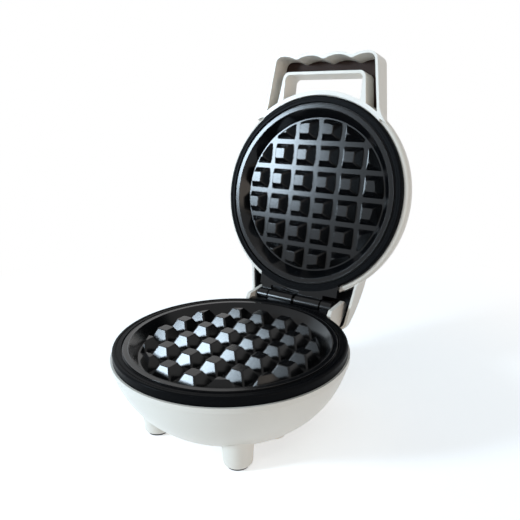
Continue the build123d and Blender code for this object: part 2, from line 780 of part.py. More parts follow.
def dome_radius(height):
    """The dome's radius at a height above the rim, on its shoulder."""
    over = max(0, height - lid_shoulder)
    return lid_radius - lid_shoulder_round + sqrt(lid_shoulder_round ** 2 - over ** 2)


def roots(near, outer, root_round, low, high, way):
    """Two webs that blend a straight side into the dome, leaning in as the dome does."""
    webs = []
    section = []
    for height, circle in ((low, lid_radius), (high, dome_radius(high))):
        plan = root_plan(near, outer, root_round, circle - root_sink)
        section.append(Pos(0, 0, lid_rim + height) * plan)
    web = loft(section, ruled=True)
    if way < 0:
        web = mirror(web, Plane.XZ)
    return [web, mirror(web, Plane.YZ)]


def loop_outline():
    return fillet(Polygon(*mirrored([(loop_half_front, -loop_front), (loop_half_back, -handle_back),
                                     (loop_half_back, -20)]), align=None).vertices().sort_by(Axis.Y)[:2], loop_corner)


def finger_outline():
    front = loop_front - loop_wall
    plan = Polygon(*mirrored([(finger_half, -front), (finger_half, -20)]), align=None)
    return fillet(plan.vertices().sort_by(Axis.Y)[:2], finger_corner) - Circle(lid_radius)


def lift(plan, low, high):
    """A plan pulled up between two heights above the upper rim."""
    return extrude(Pos(0, 0, lid_rim + low) * plan, high - low, dir=(0, 0, 1))


def handle_solid():
    body = lift(handle_outline(), handle_low, handle_high)
    rim = body.faces().sort_by(Axis.Z)[-1].outer_wire().edges()
    body = fillet(rim.sort_by(Axis.Y)[:-1], handle_edge_round)
    return body + handle_brim()


def handle_brim():
    """The outer wall's edge, which stands further out towards the front."""
    plan = handle_outline() - offset(handle_outline(), -handle_wall) - Circle(lid_radius + lid_step)
    slope = (handle_low - handle_edge) / (handle_front - handle_back)
    end = handle_front + handle_corner
    wedge = upright([(-end, lid_rim + handle_low - slope * (end - handle_back)), (-handle_back, lid_rim + handle_low),
                     (-end, lid_rim + handle_low)], handle_half_back * 2)
    return lift(plan, handle_edge * 2 - 1, handle_low) & wedge


def handle_roots():
    return roots((handle_half_back, handle_back), (handle_half_front, handle_front), handle_root_round,
                 handle_low, handle_high - handle_edge_round, -1)


def channel_outline(gap):
    inner = offset(handle_outline(), -handle_wall - gap)
    island = offset(loop_outline(), gap) if gap else loop_outline()
    return inner - island - Circle(lid_radius + gap)


def tail_outline():
    lean = (tail_half_front - tail_half_back) / (tail_back - tail_front)
    inside = tail_front / 2
    plan = Polygon(*mirrored([(tail_half_front + lean * inside, inside), (tail_half_back, tail_back)]), align=None)
    corners = plan.vertices().sort_by(Axis.Y)[-2:]
    return fillet(corners, tail_corner)


def tail_side(grow):
    """Side view of the tail: a rounded slope from the dome down to its rear edge."""
    start = (0, tail_front / 2 - 1, lid_rim + tail_high_front - grow)
    front = (0, tail_front + 5, lid_rim + tail_high_front - grow)
    middle = (0, hinge_back - 0.5, lid_rim + tail_high_middle - grow)
    back = (0, tail_back + 0.5 - grow, lid_rim + tail_high_back - grow)
    low = lid_rim + tail_low - (grow * 4)
    lines = Polyline(back, (0, back[1], low), (0, start[1], low), start, front)
    face = make_face([*lines.edges(), ThreePointArc(front, middle, back)])
    return extrude(face, 60, dir=(1, 0, 0), both=True)


def tail_solid():
    body = lift(tail_outline(), tail_low, lid_height) & tail_side(0)
    upper = [e for e in body.edges() if min((e @ 0).Z, (e @ 1).Z) > lid_rim + tail_low + 0.5]
    outer = [e for e in upper if e.center().Y > tail_back - 1 or (abs(e.center().X) > 1 and e.center().Y > tail_front / 2)]
    return fillet(outer, tail_edge_round)


def tail_roots():
    return roots((tail_half_front, tail_front), (tail_half_back, tail_back), tail_root_round,
                 tail_low, tail_root_high, 1)


def tail_hollow(wall):
    """The room inside the tail, for a given thickness of its walls and roof."""
    plan = offset(tail_outline(), -wall) - Circle(lid_radius)
    return lift(plan, tail_low - 3, lid_height) & tail_side(wall)


def lid_shell():
    low = lid_rim + lid_lip
    outside = dome_solid(0, low)
    lip = outside.edges().filter_by(
        lambda e: e.geom_type == GeomType.CIRCLE and abs(e.radius - lid_radius) < 0.01 and abs(e.center().Z - low) < 0.01)
    outside = fillet(lip, lid_lip_round)
    shell = joined(outside + handle_solid() + tail_solid(), handle_roots() + tail_roots())
    shell = shell - lift(channel_outline(0), handle_edge - 2, handle_high - handle_skin)
    shell = shell - lift(finger_outline(), handle_edge - 2, handle_high + 1)
    shell = shell - tail_hollow(tail_wall)
    inside = dome_solid(lid_wall, lid_rim + lid_lip + 3) + drum(
        upper_rim_radius + lid_seat_gap, lid_rim - 1, lid_rim + lid_lip + 4)
    shell = shell - inside
    end = lid_rim - back_level + upper_post_length
    step = lid_rim + upper_reflector_drop + reflector_thick
    columns = []
    for x, y in post_places():
        column = drum(column_radius, end, lid_rim + lid_height, x, -y)
        column = column + drum(column_radius + column_step, step, lid_rim + lid_height, x, -y)
        columns.append(column - drum(screw_radius + pin_press, end - 1, end + pin_reach + 0.1, x, -y))
    seat = drum(upper_rim_radius + lid_seat_gap + 0.3, lid_rim + upper_band, lid_rim + upper_band + 1.4) \
        - drum(upper_rim_radius - skirt_wall, lid_rim, lid_rim + 9)
    full = dome_solid(0.4, low)
    for column in columns:
        shell = shell + (column & full)
    shell = shell + seat
    side = flange_half + ear_gap
    notch = block(-side, side, upper_rim_radius * 0.7, hinge_back, lid_rim - 1, lid_rim + flange_thick + flange_fit)
    lens_hole = drum(lens_radius + flange_fit, lid_rim + upper_reflector_drop, far, 0, -lens_forward)
    return shell - notch - lens_hole


def handle_liner():
    """A dark strip that lies in the bottom of the handle's channel."""
    top = handle_high - handle_skin
    return lift(channel_outline(liner_gap), top - liner_thick, top)


def tail_liner():
    """A black shield that lines the tail's walls and roof."""
    near = tail_wall + liner_fit
    whole = tail_hollow(near) - drum(lid_radius + liner_gap, 0, far)
    return whole - tail_hollow(near + liner_wall) - block(-far, far, 0, far, 0, lid_rim + tail_low + liner_step)


def dome_height(radius):
    """Height of the dome's outside at a radius inside its flat arc."""
    across = lid_radius - lid_shoulder_round
    rise = lid_height - lid_shoulder
    crown = (across ** 2 + rise ** 2 - lid_shoulder_round ** 2) / (2 * (rise - lid_shoulder_round))
    return lid_rim + lid_height - crown + sqrt(crown ** 2 - radius ** 2)


def indicator_lens():
    top = dome_height(lens_forward) + lens_proud
    lens = drum(lens_radius, top - lens_length, top, 0, -lens_forward)
    edge = lens.edges().sort_by(Axis.Z)[-1]
    lens = fillet(edge, lens_proud * 0.9)
    return lens - drum(lamp_radius + 0.2, top - lens_length - 1, top - 2.5, 0, -lens_forward)


def indicator_lamp():
    top = dome_height(lens_forward) + lens_proud - 2.7
    lamp = drum(lamp_radius, top - lamp_length, top, 0, -lens_forward)
    return fillet(lamp.edges().sort_by(Axis.Z)[-1], 1.2)


def lamp_holder():
    """A sleeve under the dome that grips the lamp."""
    top = dome_height(lens_forward) + lens_proud - lens_length
    sleeve = drum(lens_radius + holder_wall, top - holder_height, top, 0, -lens_forward)
    return sleeve - drum(lamp_radius, top - holder_height - 1, top + 1, 0, -lens_forward)


# The lower parts stand in the base and the upper ones turn with the lid

def base_nodes():
    return {
        "base_shell": base_shell(),
        "foot_pads": foot_pads(),
        "bottom_cover": bottom_cover(),
        "bottom_cover_screws": cover_screws(),
        "lower_plate": lower_plate(),
        "lower_plate_screws": plate_screws(),
        "lower_heating_element": lower_top * heating_element(),
        "lower_heater_clamp": lower_top * heater_clamp(),
        "lower_clamp_screws": lower_top * clamp_screws(),
        "lower_reflector": lower_top * reflector(lower_reflector_drop, lower_reflector_hole, 0),
        "thermostat": lower_top * thermostat(),
        "thermal_fuse": lower_top * thermal_fuse(),
        "fuse_clip": lower_top * fuse_clip(),
        "terminal_block": terminal_block(),
        "cord_bush": cord_bush(),
        "cord_clamp": cord_clamp(),
        "cord_clamp_screws": clamp_bar_screws(),
        "base_leads": base_leads(),
        "hinge_pin": hinge_pin(),
        "hinge_pin_caps": pin_plugs(),
    }


def lid_nodes():
    return {
        "lid_shell": lid_shell(),
        "handle_liner": handle_liner(),
        "tail_liner": tail_liner(),
        "upper_plate": upper_plate(),
        "upper_heating_element": upper_top * heating_element(),
        "upper_heater_clamp": upper_top * heater_clamp(),
        "upper_clamp_screws": upper_top * clamp_screws(),
        "upper_reflector": upper_top * reflector(upper_reflector_drop, upper_reflector_hole, lens_radius + 1),
        "indicator_lens": indicator_lens(),
        "indicator_lamp": indicator_lamp(),
        "lamp_holder": lamp_holder(),
    }


def main():
    os.makedirs("parts", exist_ok=True)
    for name, solid in base_nodes().items():
        export_step(solid, f"parts/{name}.step")
    for name, solid in lid_nodes().items():
        export_step(swing * solid, f"parts/{name}.step")


main()
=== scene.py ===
import json
import math
from collections import namedtuple

import bmesh
import bpy
from bpy.props import FloatProperty, FloatVectorProperty, IntProperty, PointerProperty
from mathutils import Matrix, Vector


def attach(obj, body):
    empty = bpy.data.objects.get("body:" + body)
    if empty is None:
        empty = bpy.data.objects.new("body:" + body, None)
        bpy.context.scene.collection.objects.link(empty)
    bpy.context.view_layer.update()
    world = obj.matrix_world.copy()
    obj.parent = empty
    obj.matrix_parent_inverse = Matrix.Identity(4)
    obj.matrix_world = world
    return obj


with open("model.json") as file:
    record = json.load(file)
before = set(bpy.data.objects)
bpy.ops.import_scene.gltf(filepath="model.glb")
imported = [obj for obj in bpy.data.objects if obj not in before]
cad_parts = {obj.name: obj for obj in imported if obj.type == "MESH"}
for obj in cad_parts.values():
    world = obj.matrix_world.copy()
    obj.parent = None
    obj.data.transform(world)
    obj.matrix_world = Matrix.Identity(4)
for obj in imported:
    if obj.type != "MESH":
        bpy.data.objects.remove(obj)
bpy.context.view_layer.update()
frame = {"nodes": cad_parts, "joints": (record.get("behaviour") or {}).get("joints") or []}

bl_info = {
    "name": "Mini waffle maker",
    "version": (1, 0, 0),
    "blender": (4, 5, 0),
    "location": "View3D > Sidebar > Waffle maker",
    "description": "Finishes and stage for a small round waffle maker with a hinged lid",
    "category": "Object",
}

# The hinge. The frame holds the lid open; it shuts by SHUT_ANGLE about PIVOT.
HINGE = frame["joints"][0]
PIVOT = Vector(HINGE["pos_m"])
SHUT_ANGLE = math.radians(HINGE["range_deg"][1])
MIDDLE = (0.0, 0.0, 0.0)
UNTURNED = (0.0, 0.0, 0.0)
LID_TURN = (SHUT_ANGLE, 0.0, 0.0)
FROM_SHUT_TO_OPEN = (Matrix.Translation(PIVOT) @ Matrix.Rotation(-SHUT_ANGLE, 4, "X")
                     @ Matrix.Translation(-PIVOT))

# Depths of the fine textures, in metres
PLASTIC_GRAIN_DEPTH = 0.00005
METAL_GRAIN_DEPTH = 0.00004
RUBBER_GRAIN_DEPTH = 0.00006
COATING_GRAIN_DEPTH = 0.00003
TURNED_LINE_DEPTH = 0.00003

# Masks: the width over which they fade, and how far the outer band's mask passes the rim
MASK_FADE = 0.0001
RIM_SPILL = 0.0004

# Non-stick coating: a clear coat on the cooking side over a nearly matt black, and how much
# rougher than the setting the black is there and on the turned band
COAT_IOR = 1.29
COATING_SPECULAR = 0.03
POLISHED_SHARE = 1.4
TURNED_SHARE = 1.9

# Beads: the share of their radius that stays inside the ring's wall and its face
BEAD_INSET = 0.8
BEAD_SINK = 0.55
BEAD_SIDES = 10

# Floor: half its side, its steps, its lift for rays that see it, and the distances from the
# middle between which it turns to plain white for them
FLOOR_HALF = 4.0
FLOOR_STEPS = 8
FLOOR_LIFT = 0.5
FLOOR_FADE_START = 0.12
FLOOR_FADE_END = 0.36

WHITE = (1.0, 1.0, 1.0)
WORLD_TINT = (0.70, 0.87, 1.0)

SENSOR_WIDTH = 36.0
CLIP_START = 0.01

# Soft lamps: setting names the power of StageSettings that a lamp takes its share of
Lamp = namedtuple("Lamp", "name place aim size setting share colour")
LAMPS = (
    Lamp("key", (-0.71, -0.86, 0.44), (0.0, 0.08, 0.12), (0.19, 0.23), "key", 1.0,
         (0.70, 0.86, 1.0)),
    Lamp("left", (-1.0, 0.25, 0.5), (0.0, 0.05, 0.08), (0.8, 0.8), "fill", 0.9,
         (0.62, 0.84, 1.0)),
    Lamp("right", (1.05, -0.30, 0.28), (0.0, 0.05, 0.08), (0.6, 0.6), "fill", 1.6,
         (1.0, 0.84, 0.70)),
    Lamp("top", (0.0, 0.0, 1.3), (0.0, 0.0, 0.0), (0.9, 0.9), "fill", 0.6,
         (1.0, 0.98, 0.95)),
)


# Shader helpers

def new_material(name):
    """A material with nodes, its tree and its shader."""
    material = bpy.data.materials.new(name)
    material.use_nodes = True
    return material, material.node_tree, material.node_tree.nodes["Principled BSDF"]


def feed(tree, socket, value):
    """Links an input to another node's socket, or sets it to a plain value."""
    if isinstance(value, bpy.types.NodeSocket):
        tree.links.new(value, socket)
    else:
        socket.default_value = value


def math_node(tree, operation, *values):
    node = tree.nodes.new("ShaderNodeMath")
    node.operation = operation
    for socket, value in zip(node.inputs, values):
        feed(tree, socket, value)
    return node.outputs["Value"]


def vector_node(tree, operation, *values):
    node = tree.nodes.new("ShaderNodeVectorMath")
    node.operation = operation
    for socket, value in zip(node.inputs, values):
        feed(tree, socket, value)
    return node.outputs["Value" if operation == "LENGTH" else "Vector"]


def range_node(tree, source, start=0.0, end=1.0, low=0.0, high=1.0, easing="LINEAR"):
    """Maps the source's span from start to end to one from low to high."""
    node = tree.nodes.new("ShaderNodeMapRange")
    node.interpolation_type = easing
    for label, value in (("Value", source), ("From Min", start), ("From Max", end),
                         ("To Min", low), ("To Max", high)):
        feed(tree, node.inputs[label], value)
    return node.outputs["Result"]


def noise_node(tree, vector, scale, detail, roughness=0.55):
    node = tree.nodes.new("ShaderNodeTexNoise")
    for label, value in (("Vector", vector), ("Scale", scale), ("Detail", detail),
                         ("Roughness", roughness)):
        feed(tree, node.inputs[label], value)
    return node.outputs["Fac"]


def mix_colours(tree, factor, first, second):
    node = tree.nodes.new("ShaderNodeMix")
    node.data_type = "RGBA"
    for label, value in (("Factor", factor), ("A", first), ("B", second)):
        feed(tree, node.inputs[label], value)
    return node.outputs["Result"]


def mix_shaders(tree, factor, first, second):
    node = tree.nodes.new("ShaderNodeMixShader")
    for socket, value in zip(node.inputs, (factor, first, second)):
        tree.links.new(value, socket)
    return node.outputs["Shader"]


def coordinates(tree, centre=MIDDLE, turn=UNTURNED):
    """Object coordinates, moved so that centre is the pattern's middle and then turned."""
    source = tree.nodes.new("ShaderNodeTexCoord")
    mapping = tree.nodes.new("ShaderNodeMapping")
    mapping.inputs["Rotation"].default_value = turn
    moved = vector_node(tree, "SUBTRACT", source.outputs["Object"], centre)
    tree.links.new(moved, mapping.inputs["Vector"])
    return mapping.outputs["Vector"]


# Shared effects

def group_tree(name, inputs, outputs):
    """A node group with the given inputs, as name, type and default, and number outputs."""
    tree = bpy.data.node_groups.new(name, "ShaderNodeTree")
    for label, kind, value in inputs:
        socket = tree.interface.new_socket(label, in_out="INPUT", socket_type=kind)
        if value is not None:
            socket.default_value = value
    for label in outputs:
        tree.interface.new_socket(label, in_out="OUTPUT", socket_type="NodeSocketFloat")
    return tree, tree.nodes.new("NodeGroupInput").outputs, tree.nodes.new("NodeGroupOutput").inputs


def mould_grain_group():
    """The faint texture of moulded plastic: a tiny ripple and slow clouds."""
    tree, given, out = group_tree(
        "Mould grain",
        [("Vector", "NodeSocketVector", None), ("Ripple scale", "NodeSocketFloat", 900.0),
         ("Cloud scale", "NodeSocketFloat", 35.0)],
        ["Height", "Clouds"])
    ripple = noise_node(tree, given["Vector"], given["Ripple scale"], detail=4.0)
    clouds = noise_node(tree, given["Vector"], given["Cloud scale"], detail=2.0)
    tree.links.new(ripple, out["Height"])
    tree.links.new(range_node(tree, clouds, start=0.3, end=0.7), out["Clouds"])
    return tree


def turned_lines_group():
    """Fine rings left by a lathe round the pattern's Z axis, on the band outside the ring."""
    tree, given, out = group_tree(
        "Turned lines",
        [("Vector", "NodeSocketVector", None), ("Pitch", "NodeSocketFloat", 0.0005),
         ("Ring radius", "NodeSocketFloat", 0.05), ("Rim radius", "NodeSocketFloat", 0.06)],
        ["Height", "Band mask", "Polish mask"])
    flat = vector_node(tree, "MULTIPLY", given["Vector"], (1.0, 1.0, 0.0))
    radius = vector_node(tree, "LENGTH", flat)
    turns = math_node(tree, "DIVIDE", radius, given["Pitch"])
    wave = math_node(tree, "SINE", math_node(tree, "MULTIPLY", turns, 2 * math.pi))
    past_ring = range_node(tree, math_node(tree, "SUBTRACT", radius, given["Ring radius"]),
                           start=0.0, end=MASK_FADE)
    inside_rim = range_node(tree, math_node(tree, "SUBTRACT", given["Rim radius"], radius),
                            start=-RIM_SPILL, end=MASK_FADE - RIM_SPILL)
    band = math_node(tree, "MULTIPLY", past_ring, inside_rim)
    tree.links.new(math_node(tree, "MULTIPLY", wave, band), out["Height"])
    tree.links.new(band, out["Band mask"])
    tree.links.new(math_node(tree, "SUBTRACT", 1.0, band), out["Polish mask"])
    return tree


def speckle_group():
    """Sparse light specks, as in a sprayed coating or dust."""
    tree, given, out = group_tree(
        "Fine specks",
        [("Vector", "NodeSocketVector", None), ("Scale", "NodeSocketFloat", 2500.0)],
        ["Specks", "Height"])
    fine = noise_node(tree, given["Vector"], given["Scale"], detail=2.0, roughness=0.7)
    tree.links.new(range_node(tree, fine, start=0.62, end=0.8), out["Specks"])
    tree.links.new(fine, out["Height"])
    return tree


def box_mask_group():
    """1 inside a box round the pattern's middle, 0 outside. Half size holds half its sides."""
    tree, given, out = group_tree(
        "Box mask",
        [("Vector", "NodeSocketVector", None), ("Half size", "NodeSocketVector", None)],
        ["Mask"])
    away = vector_node(tree, "ABSOLUTE", given["Vector"])
    room = vector_node(tree, "SUBTRACT", given["Half size"], away)
    parts = tree.nodes.new("ShaderNodeSeparateXYZ")
    tree.links.new(room, parts.inputs["Vector"])
    least = math_node(tree, "MINIMUM", parts.outputs["X"], parts.outputs["Y"])
    least = math_node(tree, "MINIMUM", least, parts.outputs["Z"])
    tree.links.new(range_node(tree, least, start=0.0, end=MASK_FADE), out["Mask"])
    return tree


GROUP_MAKERS = {"Box mask": box_mask_group, "Mould grain": mould_grain_group,
                "Turned lines": turned_lines_group, "Fine specks": speckle_group}


def place_group(tree, name, vector, **values):
    """Puts a shared effect into a material with its own values, and gives its outputs."""
    node = tree.nodes.new("ShaderNodeGroup")
    node.node_tree = bpy.data.node_groups.get(name) or GROUP_MAKERS[name]()
    tree.links.new(vector, node.inputs["Vector"])
    for label, value in values.items():
        node.inputs[label.replace("_", " ")].default_value = value
    return node.outputs


def bump(tree, shader, height, strength, distance, under=None):
    """Adds relief to the shader's normal, on top of the relief that under gives."""
    node = tree.nodes.new("ShaderNodeBump")
    node.inputs["Strength"].default_value = strength
    node.inputs["Distance"].default_value = distance
    tree.links.new(height, node.inputs["Height"])
    if under is not None:
        tree.links.new(under, node.inputs["Normal"])
    tree.links.new(node.outputs["Normal"], shader.inputs["Normal"])
    return node.outputs["Normal"]


def two_tone(tree, shader, factor, dark, light):
    mixed = mix_colours(tree, factor, (*dark, 1.0), (*light, 1.0))
    tree.links.new(mixed, shader.inputs["Base Color"])


def rough_span(tree, shader, factor, low, high):
    spread = range_node(tree, factor, low=low, high=high)
    tree.links.new(spread, shader.inputs["Roughness"])


def scaled(colour, factor):
    return tuple(min(1.0, part * factor) for part in colour)


# Finishes of this object

def moulded_plastic(name, colour, roughness, ripple=900.0, strength=0.12, gloss=0.5):
    material, tree, shader = new_material(name)
    grain = place_group(tree, "Mould grain", coordinates(tree), Ripple_scale=ripple)
    two_tone(tree, shader, grain["Clouds"], scaled(colour, 0.985), colour)
    rough_span(tree, shader, grain["Clouds"], low=roughness * 0.92, high=roughness * 1.08)
    bump(tree, shader, grain["Height"], strength=strength, distance=PLASTIC_GRAIN_DEPTH)
    shader.inputs["Specular IOR Level"].default_value = gloss
    return material


def lid_plastic_with_painted_shade(name, colour, lining, roughness, middle, half_size):
    """The shell's plastic, with painted shade: black over a box on the lid's edge at the hinge,
    standing in for the shadow in the gap behind the hinge.
    """
    material = moulded_plastic(name, colour, roughness)
    tree = material.node_tree
    base = tree.nodes["Principled BSDF"].inputs["Base Color"]
    plain = base.links[0].from_socket
    # Painted shade: inside this box on the lid's edge at the hinge the colour turns black,
    # standing in for the shadow in the gap there.
    mask = place_group(tree, "Box mask", coordinates(tree, middle, LID_TURN),
                       Half_size=half_size)
    tree.links.new(mix_colours(tree, mask["Mask"], plain, (*lining, 1.0)), base)
    return material


def coated_plate(name, given, centre, turn, ring_radius, rim_radius):
    """Non-stick coating: glossy on the cooking side, dull and turned on the outer band."""
    material, tree, shader = new_material(name)
    vector = coordinates(tree, centre, turn)
    specks = place_group(tree, "Fine specks", vector)
    lines = place_group(tree, "Turned lines", vector, Pitch=given.pitch,
                        Ring_radius=ring_radius, Rim_radius=rim_radius)
    two_tone(tree, shader, specks["Specks"], given.colour, given.fleck)
    rough_span(tree, shader, lines["Band mask"], low=given.roughness * POLISHED_SHARE,
               high=given.roughness * TURNED_SHARE)
    spray = bump(tree, shader, specks["Height"], strength=0.10, distance=COATING_GRAIN_DEPTH)
    bump(tree, shader, lines["Height"], strength=0.3, distance=TURNED_LINE_DEPTH,
         under=spray)
    tree.links.new(lines["Polish mask"], shader.inputs["Coat Weight"])
    shader.inputs["Coat Roughness"].default_value = given.roughness
    shader.inputs["Coat IOR"].default_value = COAT_IOR
    shader.inputs["Specular IOR Level"].default_value = COATING_SPECULAR
    return material


def plain_metal(name, colour, roughness, scale):
    material, tree, shader = new_material(name)
    grain = place_group(tree, "Mould grain", coordinates(tree), Ripple_scale=scale,
                        Cloud_scale=120.0)
    two_tone(tree, shader, grain["Clouds"], scaled(colour, 0.85), colour)
    rough_span(tree, shader, grain["Clouds"], low=roughness * 0.8, high=roughness * 1.2)
    bump(tree, shader, grain["Height"], strength=0.15, distance=METAL_GRAIN_DEPTH)
    shader.inputs["Metallic"].default_value = 1.0
    return material


def soft_rubber(name, colour):
    material, tree, shader = new_material(name)
    specks = place_group(tree, "Fine specks", coordinates(tree), Scale=1800.0)
    two_tone(tree, shader, specks["Specks"], colour, scaled(colour, 1.6))
    rough_span(tree, shader, specks["Height"], low=0.7, high=0.85)
    bump(tree, shader, specks["Height"], strength=0.25, distance=RUBBER_GRAIN_DEPTH)
    return material


def tinted_lens(name, colour):
    material, tree, shader = new_material(name)
    grain = place_group(tree, "Mould grain", coordinates(tree), Cloud_scale=400.0)
    two_tone(tree, shader, grain["Clouds"], scaled(colour, 0.8), colour)
    rough_span(tree, shader, grain["Clouds"], low=0.08, high=0.14)
    shader.inputs["Transmission Weight"].default_value = 0.4
    shader.inputs["IOR"].default_value = 1.49
    return material


def lamp_glass(name, colour):
    material, tree, shader = new_material(name)
    specks = place_group(tree, "Fine specks", coordinates(tree))
    two_tone(tree, shader, specks["Specks"], colour, scaled(colour, 1.1))
    shader.inputs["Roughness"].default_value = 0.05
    shader.inputs["Transmission Weight"].default_value = 0.9
    return material


def dress(names, material):
    """Gives CAD nodes a material in all their slots."""
    for name in names:
        slots = frame["nodes"][name].data.materials
        if not slots:
            slots.append(material)
        for index in range(len(slots)):
            slots[index] = material


# New meshes

def finish_mesh(name, bm, material, place=Matrix.Identity(4)):
    """Turns a bmesh into a smooth object whose place is in its mesh."""
    bmesh.ops.transform(bm, matrix=place, verts=bm.verts)
    bmesh.ops.recalc_face_normals(bm, faces=bm.faces)
    mesh = bpy.data.meshes.new(name)
    bm.to_mesh(mesh)
    bm.free()
    mesh.shade_smooth()
    mesh.materials.append(material)
    piece = bpy.data.objects.new(name, mesh)
    bpy.context.scene.collection.objects.link(piece)
    return piece


def bead_ring(bm, radius, height, section, steps):
    """A round bead swept once round the Z axis."""
    start = Matrix.Translation((radius, 0.0, height)) @ Matrix.Rotation(math.pi / 2, 4, "X")
    made = bmesh.ops.create_circle(bm, segments=BEAD_SIDES, radius=section, matrix=start)
    edges = list({edge for vert in made["verts"] for edge in vert.link_edges})
    bmesh.ops.spin(bm, geom=made["verts"] + edges, cent=(0, 0, 0), axis=(0, 0, 1),
                   angle=2 * math.pi, steps=steps, use_merge=True, use_duplicate=False)


# Stage

def seen_rays(tree):
    """1 for camera, glossy and transmission rays, 0 for the rest."""
    path = tree.nodes.new("ShaderNodeLightPath").outputs
    seen = math_node(tree, "MAXIMUM", path["Is Camera Ray"], path["Is Glossy Ray"])
    return math_node(tree, "MAXIMUM", seen, path["Is Transmission Ray"])


def make_floor(colour):
    """A pale floor that keeps the object's shadow near it and is white further out."""
    material, tree, shader = new_material("Floor")
    vector = coordinates(tree)
    grain = place_group(tree, "Mould grain", vector, Cloud_scale=2.0)
    two_tone(tree, shader, grain["Clouds"], scaled(colour, 0.995), colour)
    shader.inputs["Roughness"].default_value = 0.95
    shader.inputs["Specular IOR Level"].default_value = 0.0
    plain = shader.outputs["BSDF"]

    lift = tree.nodes.new("ShaderNodeEmission")
    lift.inputs["Strength"].default_value = FLOOR_LIFT
    lifted = tree.nodes.new("ShaderNodeAddShader")
    tree.links.new(plain, lifted.inputs[0])
    tree.links.new(lift.outputs["Emission"], lifted.inputs[1])
    white = tree.nodes.new("ShaderNodeEmission")
    fade = range_node(tree, vector_node(tree, "LENGTH", vector), start=FLOOR_FADE_START,
                      end=FLOOR_FADE_END, easing="SMOOTHSTEP")
    seen = mix_shaders(tree, fade, lifted.outputs["Shader"], white.outputs["Emission"])
    surface = mix_shaders(tree, seen_rays(tree), plain, seen)
    tree.links.new(surface, tree.nodes["Material Output"].inputs["Surface"])

    bm = bmesh.new()
    bmesh.ops.create_grid(bm, x_segments=FLOOR_STEPS, y_segments=FLOOR_STEPS, size=FLOOR_HALF)
    finish_mesh("floor", bm, material)


def make_world(strength):
    """Even light from all round, which is plain white where it is seen or mirrored."""
    world = bpy.data.worlds.new("Studio")
    world.use_nodes = True
    tree = world.node_tree
    lit = tree.nodes["Background"]
    lit.inputs["Color"].default_value = (*WORLD_TINT, 1.0)
    lit.inputs["Strength"].default_value = strength
    white = tree.nodes.new("ShaderNodeBackground")
    white.inputs["Color"].default_value = (*WHITE, 1.0)
    white.inputs["Strength"].default_value = 1.0
    surface = mix_shaders(tree, seen_rays(tree), lit.outputs["Background"],
                          white.outputs["Background"])
    tree.links.new(surface, tree.nodes["World Output"].inputs["Surface"])
    bpy.context.scene.world = world


def make_lamps(given):
    for lamp in LAMPS:
        data = bpy.data.lights.new(lamp.name, "AREA")
        data.shape = "RECTANGLE"
        data.size, data.size_y = lamp.size
        data.energy = getattr(given, lamp.setting) * lamp.share
        data.color = lamp.colour
        piece = bpy.data.objects.new(lamp.name, data)
        piece.location = lamp.place
        piece.rotation_mode = "QUATERNION"
        line = Vector(lamp.aim) - Vector(lamp.place)
        piece.rotation_quaternion = line.to_track_quat("-Z", "Y")
        bpy.context.scene.collection.objects.link(piece)


def make_camera(given):
    data = bpy.data.cameras.new("camera")
    data.sensor_width = SENSOR_WIDTH
    data.sensor_fit = "HORIZONTAL"
    data.lens = given.lens
    data.clip_start = CLIP_START
    camera = bpy.data.objects.new("camera", data)
    a, e, roll = given.azimuth, given.elevation, given.roll
    back = Vector((math.sin(a) * math.cos(e), -math.cos(a) * math.cos(e), math.sin(e)))
    right = Vector((math.cos(a), math.sin(a), 0.0))
    up = back.cross(right)
    side = right * math.cos(roll) + up * math.sin(roll)
    top = up * math.cos(roll) - right * math.sin(roll)
    turn = Matrix((side, top, back)).transposed().to_4x4()
    camera.matrix_world = Matrix.Translation(given.place) @ turn
    bpy.context.scene.collection.objects.link(camera)
    bpy.context.scene.camera = camera


# Sizes and colours a user would change

class ShellSettings(bpy.types.PropertyGroup):
    colour: FloatVectorProperty(
        name="Shell colour", description="Colour of the moulded base, lid and handle",
        subtype="COLOR", size=3, min=0.0, max=1.0, default=(0.85, 0.782, 0.695))
    gloss: FloatProperty(
        name="Shell roughness", description="Roughness of the moulded shell",
        default=0.34, min=0.0, max=1.0, subtype="FACTOR")
    channel: FloatVectorProperty(
        name="Channel colour", description="Colour of the strip inside the handle",
        subtype="COLOR", size=3, min=0.0, max=1.0, default=(0.032, 0.016, 0.011))
    # The box of black painted shade on the lid's edge at the hinge: its middle and its half size.
    painted_shade_middle: FloatVectorProperty(
        name="Painted shade middle", description="Middle of the painted-shade patch on the lid's edge, from the hinge with "
        "the lid shut", subtype="TRANSLATION", size=3, unit="LENGTH",
        default=(0.0, -0.0065, 0.003))
    painted_shade_half: FloatVectorProperty(
        name="Painted shade half size", description="Half the size of the painted-shade patch on the lid's edge",
        subtype="TRANSLATION", size=3, unit="LENGTH", default=(0.026, 0.006, 0.004))
    # This dark colour also paints the shade on the lid's edge at the hinge.
    dark: FloatVectorProperty(
        name="Dark lining and painted shade colour", description="Colour of the tail's lining, dark plastic and the painted shade on the lid's edge",
        subtype="COLOR", size=3, min=0.0, max=1.0, default=(0.004, 0.004, 0.005))


